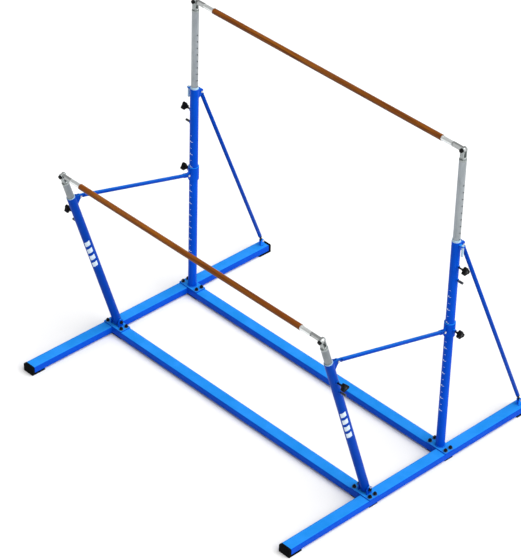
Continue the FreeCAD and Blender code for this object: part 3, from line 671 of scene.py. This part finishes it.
# ---- welds --------------------------------------------------------------------------------
BEAD_R = 0.0021
FOOT_BEAD_R = 0.0034             # round the foot of an upright mast
THIN_BEAD_R = 0.0016             # round the end of a strut or brace
PROUD = 0.0006                   # how far a bead's middle lies off the surface it joins
LUG_OUTER = 0.0125               # outer face of a bracket's plate, from the mast's middle plane
LUG_BELOW, LUG_ABOVE = 0.040, 0.024              # a brace bracket, from its pin
TAB_UNDER = 0.018                # underside of a rim tab, from the top of its mast
TAB_TURN = math.radians(20)
TAB_STEPS = 20
STRUT_BRACKET = (1.163, 1.229)   # along a leaning mast from its foot hinge
EAR_REACH, EAR_HALF = 0.0415, 0.021              # a foot hinge ear's outer face and half length
COLLAR_R = 0.038
COLLAR_LUG = 0.0045              # half the thickness of a collar's lug
COLLAR_LUG_HALF, COLLAR_LUG_DROP = 0.031, 0.002
CLEVIS_HALF = 0.0135
ROD_R = 0.01345                  # strut and brace tubes
ROD_FROM = 0.0345                # where such a tube starts, from its pin


def beside(radius, offset):
    """How far from a tube's axis plane its surface is, at that sideways offset."""
    return math.sqrt(radius * radius - offset * offset)


def make_mast_welds(side):
    """Beads round the foot of an upright mast, down its brace bracket and under its rim tab."""
    axis = upright(side)
    plate_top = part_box("high_foot_plates")[1].z
    pin = brace_pins(side)[0].z
    bm = bmesh.new()
    foot = axis + UP * (plate_top + 0.001)
    add_bead(bm, ring_round(foot, UP, TUBE_R + 0.0015, 128), FOOT_BEAD_R, closed=True)
    for direction in (-1, 1):
        edge = axis + Vector((direction * LUG_OUTER, beside(TUBE_R, LUG_OUTER), 0))
        ends = (edge + UP * (pin - LUG_BELOW), edge + UP * (pin + LUG_ABOVE))
        add_bead(bm, straight(*ends), BEAD_R)
    outward = 0 if SIDES[side] > 0 else math.pi
    tab_under = axis + UP * (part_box("high_post_" + side)[1].z - TAB_UNDER)
    turns = [outward + TAB_TURN * (step / TAB_STEPS - 1) for step in range(2 * TAB_STEPS + 1)]
    reach = TUBE_R + 0.0004
    arc = [tab_under + Vector((math.cos(t), math.sin(t), 0)) * reach for t in turns]
    add_bead(bm, arc, BEAD_R)
    piece("mast_weld_" + side, bm, "blue_paint", "base")


def make_strut_bracket_welds(side):
    """Beads where the strut bracket's plates meet the leaning tube."""
    low, high = STRUT_BRACKET
    bm = bmesh.new()
    for direction in (-1, 1):
        place = (beside(TUBE_R, LUG_OUTER), direction * LUG_OUTER)
        add_bead(bm, straight(leaning(side, *place, low), leaning(side, *place, high)), BEAD_R)
    piece("bracket_weld_" + side, bm, "blue_paint", "low_post_" + side)


def make_foot_ear_welds(side):
    """Beads along the outer foot of the two ears that hold a leaning mast."""
    plate_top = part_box("high_foot_plates")[1].z
    hinge = foot_hinge(side)
    half = Vector((0, EAR_HALF, 0))
    bm = bmesh.new()
    for direction in (-1, 1):
        edge = Vector((hinge.x + direction * EAR_REACH, hinge.y, plate_top + PROUD))
        add_bead(bm, straight(edge - half, edge + half), BEAD_R * 1.2)
    piece("ear_weld_" + side, bm, "blue_paint", "base")


def make_collar_welds(side):
    """Beads down both sides of the lug on a sliding collar."""
    axis = upright(side)
    pin = middle("collar_" + side).z - COLLAR_LUG_DROP
    half = UP * COLLAR_LUG_HALF
    bm = bmesh.new()
    for direction in (-1, 1):
        edge = axis + Vector((direction * COLLAR_LUG, -beside(COLLAR_R, COLLAR_LUG), pin))
        add_bead(bm, straight(edge - half, edge + half), BEAD_R * 0.8)
    piece("collar_weld_" + side, bm, "blue_paint", "collar_" + side)


def make_rod_welds(side):
    """A bead round each end of a strut's tube."""
    bolts_low, bolts_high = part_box("strut_bolts_" + side)
    x = (bolts_low.x + bolts_high.x) / 2
    mast_pin = Vector((x, bolts_low.y + HALF_NUT, bolts_high.z - HALF_NUT))
    collar_pin = Vector((x, bolts_high.y - HALF_NUT, bolts_low.z + HALF_NUT))
    along = (collar_pin - mast_pin).normalized()
    bm = bmesh.new()
    for place in (mast_pin + along * ROD_FROM, collar_pin - along * ROD_FROM):
        add_bead(bm, ring_round(place, along, ROD_R - PROUD), THIN_BEAD_R, closed=True)
    piece("strut_weld_" + side, bm, "shaded_blue", "strut_" + side)


def make_brace_welds(side):
    """A bead round the top of a brace's tube, and beads along the clevis at its foot."""
    top, foot = brace_pins(side)
    along = (foot - top).normalized()
    bm = bmesh.new()
    start = top + along * ROD_FROM
    add_bead(bm, ring_round(start, along, ROD_R - PROUD), THIN_BEAD_R, closed=True)
    beam_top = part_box("cross_beam_rear")[1].z
    half = Vector((0, CLEVIS_HALF, 0))
    for direction in (-1, 1):
        corner = Vector((foot.x + direction * (LUG_OUTER + PROUD), foot.y, beam_top + PROUD))
        add_bead(bm, straight(corner - half, corner + half), BEAD_R)
    piece("brace_weld_" + side, bm, "shaded_blue", "base")


def make_welds():
    for side in SIDES:
        make_mast_welds(side)
        make_strut_bracket_welds(side)
        make_foot_ear_welds(side)
        make_collar_welds(side)
        make_rod_welds(side)
        make_brace_welds(side)


# ---- small turned parts -------------------------------------------------------------------
def add_turned(bm, centre, direction, profile, around=32):
    """A closed turned shape: profile is (distance along direction, radius), ends on the axis."""
    direction = direction.normalized()
    rings = []
    for along, radius in profile:
        place = centre + direction * along
        ring = ring_round(place, direction, radius, around) if radius else [place]
        rings.append([bm.verts.new(corner) for corner in ring])
    for ring, following in zip(rings, rings[1:]):
        for step in range(around):
            nxt = (step + 1) % around
            corners = [ring[step % len(ring)], ring[nxt % len(ring)],
                       following[nxt % len(following)], following[step % len(following)]]
            bm.faces.new(list(dict.fromkeys(corners)))


# profiles of (distance out of the surface, radius)
INSERT = ((-0.002, 0.0), (-0.002, 0.0068), (0.0004, 0.0068), (0.0008, 0.0062), (0.0008, 0.0038),
          (-0.0008, 0.0030), (-0.0008, 0.0))
BUTTON = ((-0.001, 0.0), (-0.001, 0.0048), (0.0006, 0.0048), (0.0018, 0.0040), (0.0026, 0.0026),
          (0.0029, 0.0013), (0.0029, 0.0))
HEAD_FACE = 0.0150               # outer faces of a head's foot, from its middle plane
SCREW_BELOW = 0.060              # head screws, from the rail's pin
SPLIT_PIN_R = 0.0019
SPLIT_RING_R = 0.0075
SPLIT_RING_FACES = Vector((1, -0.6, 0))
SPLIT_BELOW, SPLIT_ABOVE = 0.016, 0.019          # the pin's legs, from the bolt's axis
SPLIT_FROM_END = 0.003


def make_knob_inserts():
    """The dark steel end of the screw, set in the outer face of each clamp knob."""
    for side, sign in SIDES.items():
        for kind in ("high_clamp_knob_", "collar_knob_", "low_clamp_knob_"):
            body = kind + side
            low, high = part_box(body)
            centre = (low + high) / 2
            if kind == "low_clamp_knob_":
                centre = leaning(side, 0, centre.x - foot_hinge(side).x, LOW_CLAMP)
            else:
                centre.z = CLAMP_HEIGHTS[kind]
            centre.x = high.x if sign > 0 else low.x
            bm = bmesh.new()
            add_turned(bm, centre, Vector((sign, 0, 0)), INSERT)
            piece("insert_" + body, bm, "plunger_steel", body)


def make_head_screws():
    """A domed screw on each side of a head, below its ears."""
    for side in SIDES:
        for rail, body in (("high", "high_mast_" + side), ("low", "low_mast_" + side)):
            bm = bmesh.new()
            for direction in (-1, 1):
                if rail == "high":
                    pins = middle("high_rail_pins").z
                    offset = Vector((direction * HEAD_FACE, 0, pins - SCREW_BELOW))
                    centre = upright(side) + offset
                else:
                    centre = leaning(side, 0, direction * HEAD_FACE, LOW_RAIL - SCREW_BELOW)
                add_turned(bm, centre, Vector((direction, 0, 0)), BUTTON)
            piece(rail + "_head_screws_" + side, bm, "zinc_bolt", body)


def make_split_pins():
    """A bright split pin through the outer end of each foot hinge bolt, its ring upwards."""
    bolts_low, bolts_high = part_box("foot_hinge_bolts")
    for side, sign in SIDES.items():
        hinge = foot_hinge(side)
        end = bolts_high.x if sign > 0 else bolts_low.x
        centre = Vector((end - sign * SPLIT_FROM_END, hinge.y, hinge.z))
        bm = bmesh.new()
        legs = straight(centre - UP * SPLIT_BELOW, centre + UP * SPLIT_ABOVE)
        add_bead(bm, legs, SPLIT_PIN_R, ripple=0.0)
        loop = centre + UP * (SPLIT_ABOVE - 0.001 + SPLIT_RING_R)
        ring = ring_round(loop, SPLIT_RING_FACES, SPLIT_RING_R, 40)
        add_bead(bm, ring, SPLIT_PIN_R, closed=True, ripple=0.0)
        piece("split_pin_" + side, bm, "zinc_bolt", "base")


# ---- floor, lights, camera ----------------------------------------------------------------
FLOOR_SIZE = 60.0
FLOOR_BELOW = 0.0002             # just under the rubber, so that the two don't flicker
SKY = 0.45
SUN_SPREAD = 60                  # degrees
SUNS = (("key", (0.45, 0.20, 1.0), 2.5), ("fill", (1.0, 0.25, 0.35), 1.3))


def make_floor():
    bm = bmesh.new()
    bmesh.ops.create_grid(bm, x_segments=24, y_segments=24, size=FLOOR_SIZE)
    mesh = bpy.data.meshes.new("studio_floor")
    bm.to_mesh(mesh)
    bm.free()
    mesh.materials.append(floor_paint())
    floor = bpy.data.objects.new("studio_floor", mesh)
    bpy.context.scene.collection.objects.link(floor)
    floor.location = (0, 0, CAD_BOX[0].z - FLOOR_BELOW)


def soft_sun(name, direction, strength, spread):
    """Light from far away, arriving from that direction, softened over the spread."""
    data = bpy.data.lights.new(name, "SUN")
    data.energy = strength
    data.angle = math.radians(spread)
    light = bpy.data.objects.new(name, data)
    bpy.context.scene.collection.objects.link(light)
    light.rotation_euler = Vector(direction).to_track_quat("Z", "Y").to_euler()


def make_world():
    world = bpy.data.worlds.new("studio")
    bpy.context.scene.world = world
    world.use_nodes = True
    background = world.node_tree.nodes["Background"]
    background.inputs["Color"].default_value = (1.0, 1.0, 1.0, 1.0)
    background.inputs["Strength"].default_value = SKY


def make_lights():
    make_world()
    for name, direction, strength in SUNS:
        soft_sun(name, direction, strength, SUN_SPREAD)


CAMERA_PLACE = (10.17600, -10.14313, 11.10990)
CAMERA_AZIMUTH = math.radians(45.552)
CAMERA_ELEVATION = math.radians(35.386)
CAMERA_ROLL = math.radians(1.687)
CAMERA_LENS = 186.658
CAMERA_SENSOR = 36.0
CAMERA_REACH = 200.0


def make_camera():
    az, el, roll = CAMERA_AZIMUTH, CAMERA_ELEVATION, CAMERA_ROLL
    back = Vector((math.sin(az) * math.cos(el), -math.cos(az) * math.cos(el), math.sin(el)))
    level = Vector((math.cos(az), math.sin(az), 0))
    upward = back.cross(level)
    right = level * math.cos(roll) + upward * math.sin(roll)
    up = upward * math.cos(roll) - level * math.sin(roll)
    data = bpy.data.cameras.new("camera")
    data.sensor_width = CAMERA_SENSOR
    data.sensor_fit = "HORIZONTAL"
    data.lens = CAMERA_LENS
    data.clip_end = CAMERA_REACH
    camera = bpy.data.objects.new("camera", data)
    bpy.context.scene.collection.objects.link(camera)
    turn = Matrix((right, up, back)).transposed()
    camera.matrix_world = Matrix.Translation(CAMERA_PLACE) @ turn.to_4x4()
    bpy.context.scene.camera = camera


finish_cad_nodes()
make_scales()
make_post_marks()
make_welds()
make_knob_inserts()
make_head_screws()
make_split_pins()
make_floor()
make_lights()
make_camera()
bpy.context.scene.view_settings.view_transform = "Standard"
